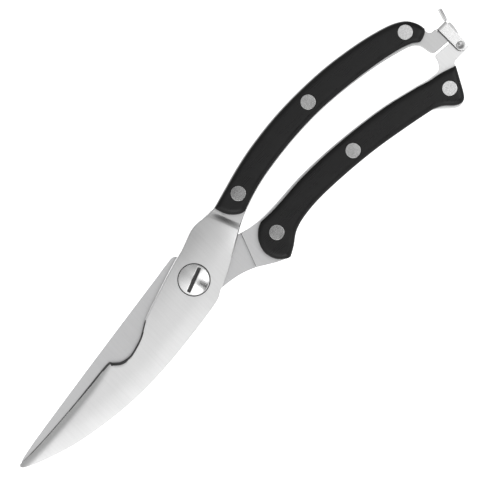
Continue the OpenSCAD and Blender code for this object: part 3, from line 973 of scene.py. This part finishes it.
def nut_piece():
    """The pivot nut: a flat turned head, a keyed foot and the barrel that the front half turns on."""
    node = "pivot_nut"
    low, high, _, head_r = round_box(node)
    face_z, bore_z, _, key_z = flat_levels(node, True)
    key = flat_loops("rear_blade", key_z, True)[1]
    barrel = flat_loops(node, high[2], True)
    steps = [(key + 0.05 * normals(key), key_z), (barrel[0], high[2]), (barrel[1], bore_z)]
    marks = wall_marks([loop for loop, _ in steps])
    marks += [(circle(RING_R + off), True) for off in (-0.5, -0.3, -0.15, 0.0, 0.15, 0.3, 0.5)]

    def top(plan, inward):
        return stepped(np.full(len(plan), face_z) - edge_drop(inward, 0.1, 0.1), plan, steps)

    def bottom(plan, inward):
        radius = np.hypot(plan[:, 0], plan[:, 1])
        groove = RING_DEPTH * np.exp(-((radius - RING_R) / RING_SOFT) ** 2)
        return low[2] + edge_drop(inward, 0.5, 0.4) + groove

    outline = circle(head_r, steps=2 * ROUND_STEPS)
    solid, faces = plate_mesh(
        [outline], top, bottom, rows=(0.04, 0.12, 0.25, 0.4, 0.6), step=0.5, grid=0.5, marks=marks
    )
    return add_object("pivot_nut_turned", node, solid, faces, NUT)


def washer_piece():
    """The washer under the screw head, a flat ring with its edges broken."""
    node = "spring_washer"
    low, high = box(node)
    outer, hole = flat_loops(node, high[2], True)
    middle_z, half_t = (low[2] + high[2]) / 2, (high[2] - low[2]) / 2

    def rounded(plan, inward):
        edge = np.minimum(inward, distance(plan, hole))
        return half_t - edge_drop(edge, 0.12, 0.12)

    solid, faces = plate_mesh(
        [outer, hole],
        lambda plan, inward: middle_z + rounded(plan, inward),
        lambda plan, inward: middle_z - rounded(plan, inward),
        rows=(0.03, 0.08, 0.16, 0.4), step=0.4, grid=0.5,
    )
    return add_object("spring_washer_pressed", node, solid, faces, SPRING)


WIRE_R, TURNS = 0.4, 2
LEG_START = 0.12  # share of a leg's reach that the bend into the coil takes
WIRE_SIDES, COIL_STEPS = 14, 48


def sweep(route, radius):
    """A round wire along a route, with its ends slightly domed."""
    route = np.asarray(route, float)
    way = np.gradient(route, axis=0)
    way /= np.linalg.norm(way, axis=1)[:, None]
    side = np.cross(way, (0, 0, 1))
    side /= np.linalg.norm(side, axis=1)[:, None]
    up = np.cross(side, way)
    rings = []
    for k in range(len(route)):
        plan = circle(radius, steps=WIRE_SIDES)[::-1]
        rings.append(route[k] + plan[:, :1] * side[k] + plan[:, 1:] * up[k])
    start, end = route[0] - 0.3 * radius * way[0], route[-1] + 0.3 * radius * way[-1]
    return tube_mesh(start, rings, end)


def spring_piece():
    """The opening spring: two turns of wire round the barrel, a leg in each half."""
    node = "opening_spring"
    low, high = box(node)
    reach = high[0]
    coil_r = high[1] - WIRE_R
    low_z, high_z = low[2] + WIRE_R, high[2] - WIRE_R
    angle = np.linspace(0, 2 * math.pi * TURNS, TURNS * COIL_STEPS + 1)
    coil = np.stack([
        coil_r * np.cos(angle + math.pi / 2), coil_r * np.sin(angle + math.pi / 2),
        low_z + (high_z - low_z) * angle / angle[-1]
    ], axis=1)
    start = [(x, coil_r, low_z) for x in np.linspace(reach, reach * LEG_START, 8)]
    end = [(-x, coil_r, high_z) for x in np.linspace(reach * LEG_START, reach, 8)]
    solid, faces = sweep(np.concatenate([start, coil, end]), WIRE_R)
    piece = add_object("opening_spring_wire", node, solid, faces, SPRING)
    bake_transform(piece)
    return piece


# ---------------------------------------------------------------- clasp

SHEET_EDGE, TAB_EDGE = 0.26, 0.1  # rounding of the sheet's edges
SHEARED = (0.5, 0.34)  # width and depth of the rounding on the side that faces the blades
BEND_R = 1.7  # outside, of the stirrup's two bends
NECK, PADDLE, TAB_LONG, TAB_CORNER = 4.0, 4.4, 5.95, 1.2  # the thumb tab, before it is bent
TAB_BEND, TAB_TURN = 1.0, math.radians(74)  # the bend that turns it out of the bight
TAB_LEAN = 0.13  # its lower side stands out by this share of its height


def clasp_blank(half_w, centre_v, far):
    """The outline of the flat sheet, with u across the cheeks and v along them, from the front
    pin hole. The tab is on the right, halfway between the two cheeks."""
    side = [(0, NECK / 2 + 0.5), (0.15, NECK / 2 + 0.12), (0.5, NECK / 2), (1.3, NECK / 2)]
    side.append((2.1, PADDLE / 2))
    for a in np.linspace(0, math.pi / 2, 7):
        out, down = TAB_CORNER * (1 - math.sin(a)), TAB_CORNER * (1 - math.cos(a))
        side.append((TAB_LONG - out, PADDLE / 2 - down))
    blank = [(half_w + u, centre_v - v) for u, v in side]
    blank += [(half_w + u, centre_v + v) for u, v in side[::-1]]
    blank.append((half_w, far))
    end = [(half_w * math.cos(a), half_w * math.sin(a)) for a in np.linspace(0, math.pi, 17)]
    blank += [(x, far + y) for x, y in end[1:]]
    blank += [(x, -y) for x, y in end[:0:-1]]
    return np.array(blank)


def clasp_piece():
    """The clasp: one blank of sheet, folded into a stirrup, with its thumb tab bent out."""
    node = "clasp"
    back_top, front_top, _ = flat_levels(node, True)
    front_low = flat_levels(node, False)[0]
    sheet_t = front_top - front_low
    cheek, pin_hole = flat_loops(node, front_top, True)[:2]
    pin = pin_hole.mean(0)
    left, right = cheek[:, 0].min(), cheek[:, 0].max()
    middle_x, half_w = (left + right) / 2, (right - left) / 2
    front_z, back_z = front_low + sheet_t / 2, back_top - sheet_t / 2
    bend_r = BEND_R - sheet_t / 2
    flat_end_y = cheek[:, 1].max()
    arm, arc = flat_end_y - pin[1], bend_r * math.pi / 2
    rise = front_z - back_z - 2 * bend_r
    bight = 2 * arc + rise
    far = 2 * arm + bight
    outline = clasp_blank(half_w, arm + bight / 2, far)
    hole_r = radius_of(pin_hole)
    holes = [circle(hole_r, (0, v), 40)[::-1] for v in (0, far)]
    rims = [
        (circle(hole_r + out, (0, v), 40), True) for v in (0, far) for out in (0.07, 0.15, 0.27)
    ]

    def skin(plan, inward):
        edge = np.minimum(inward, np.minimum(distance(plan, holes[0]), distance(plan, holes[1])))
        width = np.where(plan[:, 0] > half_w + 0.3, TAB_EDGE, SHEET_EDGE)
        sheared = (plan[:, 0] < -half_w + 0.6) & (np.abs(plan[:, 1] - far / 2) < far / 2)
        depth = np.where(sheared, SHEARED[1], width)
        return sheet_t / 2 - edge_drop(edge, np.where(sheared, SHEARED[0], width), depth)

    points, faces = plate_mesh(
        [outline] + holes, skin, lambda plan, inward: -skin(plan, inward),
        rows=(0.03, 0.08, 0.16, 0.26, 0.38, 0.5, 0.62), step=0.35, grid=0.4, marks=rims
    )
    u, v, w = points.T
    # Fold: front cheek, bend, bight, bend, back cheek; w is outwards
    quarter = math.pi / 2
    turn = np.clip((v - arm) / bend_r, 0, quarter)
    turn = turn + np.clip((v - arm - arc - rise) / bend_r, 0, quarter)
    y = pin[1] + np.minimum(v, arm) - np.maximum(v - arm - bight, 0) + (bend_r + w) * np.sin(turn)
    z = front_z - bend_r - np.clip(v - arm - arc, 0, rise) + (bend_r + w) * np.cos(turn)
    # Bend the tab out of the bight, about an upright line
    bight_y = flat_end_y + bend_r
    run = np.maximum(u - half_w, 0)
    angle = np.minimum(run / TAB_BEND, TAB_TURN)
    past = run - angle * TAB_BEND
    lean = TAB_LEAN * (PIVOT_Z + PADDLE / 2 - z) * fade(run, 0, 0.9)
    reach = TAB_BEND - (y - bight_y + lean)
    tab_x = middle_x + half_w + reach * np.sin(angle) + past * np.cos(angle)
    tab_y = bight_y + TAB_BEND - reach * np.cos(angle) + past * np.sin(angle)
    x = np.where(run > 0, tab_x, middle_x + u)
    y = np.where(run > 0, tab_y, y)

    # Painted shade: near-black on the cheek's side that faces the blades, darker copies of the steel
    # on the tab's edges and faces.
    def kinds(middles, facing):
        at_x, at_y, at_z = middles.T
        shaded_cut = (facing[:, 0] < -0.12) & (at_y < flat_end_y + 1) & (at_z > front_low)
        tab = (at_x > right - 0.35) & (at_y > flat_end_y + 0.2)
        tab_edge = tab & (np.abs(facing[:, 2]) > 0.5)
        return np.where(shaded_cut, 1, np.where(tab_edge, 2, np.where(tab, 3, 0)))

    return add_object(
        "clasp_folded_sheet", node, np.stack([x, y, z], axis=1), faces, SHEET, sharp_deg=38,
        others=[SHADE_BLACK, SHADED_BEHIND, SHADED_WALL], picks=kinds
    )


DISH_SHARE, DISH_DEPTH, DOME_HEIGHT = 0.82, 0.34, 0.55  # the clasp pin's two heads


def pin_piece():
    """The clasp pin, with a dished head in front and a domed one behind."""
    node = "clasp_pin"
    _, high, centre, head_r = round_box(node)
    back_head, front_head = flat_levels(node, True)[1], flat_levels(node, False)[1]
    shank_r = radius_of(flat_loops("rear_blade", TANG_LOW, False)[-1]) - 0.01
    profile = []
    for a in np.linspace(0, math.pi / 2, 9)[:-1]:
        profile.append((head_r * math.sin(a), back_head - DOME_HEIGHT * math.cos(a) ** 0.7))
    profile += [(head_r, back_head), (shank_r, back_head), (shank_r, front_head)]
    profile += [(head_r, front_head), (head_r, high[2] - 0.18)]
    profile += [(head_r * 0.93, high[2] - 0.02), (head_r * 0.88, high[2])]
    for share in np.linspace(1, 0, 9):
        dish = DISH_DEPTH * math.cos(share * math.pi / 2) ** 1.3
        profile.append((DISH_SHARE * head_r * share, high[2] - dish))
    solid, faces = lathe_mesh(profile, centre=centre)
    return add_object("clasp_pin_formed", node, solid, faces, PIN)


# ---------------------------------------------------------------- studio

SKY, HORIZON = 0.95, 0.76
HOLE, HOLE_KEPT = (0.025, 0.105), 0.02  # the dark round the camera, in sines of the angle from it
DARK_SIDE, DARK_KEPT = 68.0, 0.42  # direction of the room's dark side, in degrees
GLOW, GLOW_NEAR, GLOW_FAR = 1.3, (0.03, 0.10), (0.26, 0.14)  # brighter over the handle end
GAP_TURN, GAP_HALF, GAP_KEPT = -76.0, 0.17, 0.02  # the dark gap between the soft boxes
GAP_NEAR, GAP_FAR = (0.12, 0.22), (0.75, 0.55)  # and where it starts and ends
BOX_OFF, BOX_REACH, BOX_HEIGHT = 46.0, 0.58, 1.25  # where a soft box stands, from the gap
BOX_SIZE, BOX_RADIANCE = (0.50, 0.55), 1.15
VIEW_OFFSET = Vector((1.84, -0.55, 0)) * MM
VIEW_WIDTH, CAMERA_HEIGHT, CAMERA_TURN = 0.19534, 1.2, -45.0


def room():
    """The tent round the table: bright above, dark round the camera, at the far side and in
    the gap between the soft boxes."""
    world = bpy.data.worlds.new("room")
    world.use_nodes = True
    net = Net(world.node_tree)
    direction = net.node("TexCoord").outputs["Generated"]

    def vector(operation, *inputs):
        return net.node("VectorMath", enumerate(inputs), operation=operation)

    def toward(turn_deg):
        """How far a direction goes towards one along the table."""
        turn = math.radians(turn_deg)
        way = (math.cos(turn), math.sin(turn), 0)
        return vector("DOT_PRODUCT", direction, way).outputs["Value"]

    def step(value, start, end):
        """0 before start and 1 past end, smooth between."""
        return net.spread(value, 0, 1, start, end, "SMOOTHSTEP")

    def dimmed(level, share, kept):
        """The level, brought to a part of it where share is 1."""
        return net.math("MULTIPLY", level, net.math("MULTIPLY_ADD", share, kept - 1.0, 1.0))

    flat = vector("MULTIPLY", direction, (1, 1, 0)).outputs["Vector"]
    from_top = vector("LENGTH", flat).outputs["Value"]
    level = net.math("MULTIPLY_ADD", step(from_top, 0.40, 0.85), HORIZON - SKY, SKY)
    level = dimmed(level, step(from_top, HOLE[1], HOLE[0]), HOLE_KEPT)
    level = dimmed(level, step(toward(DARK_SIDE), -0.3, 0.5), DARK_KEPT)
    handles = toward(0)
    glow = net.math("MULTIPLY", step(handles, *GLOW_NEAR), step(handles, *GLOW_FAR))
    level = dimmed(level, glow, GLOW)
    across = net.math("ABSOLUTE", toward(GAP_TURN + 90))
    along = toward(GAP_TURN)
    narrow = step(across, GAP_HALF * 1.4, GAP_HALF * 0.7)
    long = net.math("MULTIPLY", step(along, *GAP_NEAR), step(along, *GAP_FAR))
    level = dimmed(level, net.math("MULTIPLY", narrow, long), GAP_KEPT)
    nodes = world.node_tree.nodes
    nodes["Background"].inputs["Color"].default_value = (1, 1, 1, 1)
    net.give(nodes["Background"].inputs["Strength"], level)
    bpy.context.scene.world = world


def soft_box(name, centre, turn_deg):
    """A soft box that faces straight down, in a direction from the centre."""
    turn = math.radians(turn_deg)
    light = bpy.data.lights.new(name, "AREA")
    light.shape = "RECTANGLE"
    light.size, light.size_y = BOX_SIZE
    light.energy = BOX_RADIANCE * math.pi * BOX_SIZE[0] * BOX_SIZE[1]
    lamp = linked(name, light)
    x, y = centre.x + BOX_REACH * math.cos(turn), centre.y + BOX_REACH * math.sin(turn)
    lamp.location = (x, y, BOX_HEIGHT)
    lamp.rotation_euler = (0, 0, math.radians(GAP_TURN + 90))


def floor_plane():
    """A wide pale floor that glows a little, as a light table does."""
    half, floor_z = 10.0, -0.00005
    corners = [(-half, -half), (half, -half), (half, half), (-half, half)]
    mesh = bpy.data.meshes.new("floor")
    mesh.from_pydata([(x, y, floor_z) for x, y in corners], [], [(0, 1, 2, 3)])
    material = bpy.data.materials.new("pale_floor")
    material.use_nodes = True
    inputs = material.node_tree.nodes["Principled BSDF"].inputs
    inputs["Base Color"].default_value = (0.8, 0.8, 0.8, 1)
    inputs["Roughness"].default_value = 0.9
    inputs["Emission Color"].default_value = (1, 1, 1, 1)
    inputs["Emission Strength"].default_value = 1.0
    mesh.materials.append(material)
    linked("floor", mesh)


def camera(aim):
    """The camera straight above, rolled so that the handles point up and right."""
    data = bpy.data.cameras.new("camera")
    data.sensor_width = 36
    data.lens = data.sensor_width * CAMERA_HEIGHT / VIEW_WIDTH
    data.clip_start, data.clip_end = 0.05, 20
    view = linked("camera", data)
    view.location = aim + Vector((0, 0, CAMERA_HEIGHT))
    view.rotation_euler = (0, 0, math.radians(CAMERA_TURN))
    bpy.context.scene.camera = view


# ---------------------------------------------------------------- the scene

front_piece()
rear_piece()
for handle in ("upper", "lower"):
    for side in ("front", "back"):
        scale_piece(handle, side)
    for i in (1, 2, 3):
        rivet_pieces(handle, i)
screw_piece()
nut_piece()
washer_piece()
clasp_piece()
pin_piece()
for piece in list(bpy.context.scene.objects):
    if "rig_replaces" in piece:
        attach(piece, BODY_OF[list(piece["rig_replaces"])[0]])
spring_piece()

middle = (cad_low + cad_high) / 2
aim = Vector((middle.x, middle.y, TANG_TOP * MM)) + VIEW_OFFSET
floor_plane()
room()
soft_box("soft_box_right", aim, GAP_TURN + BOX_OFF)
soft_box("soft_box_left", aim, GAP_TURN - BOX_OFF)
camera(aim)
bpy.context.scene.view_settings.view_transform = "Standard"
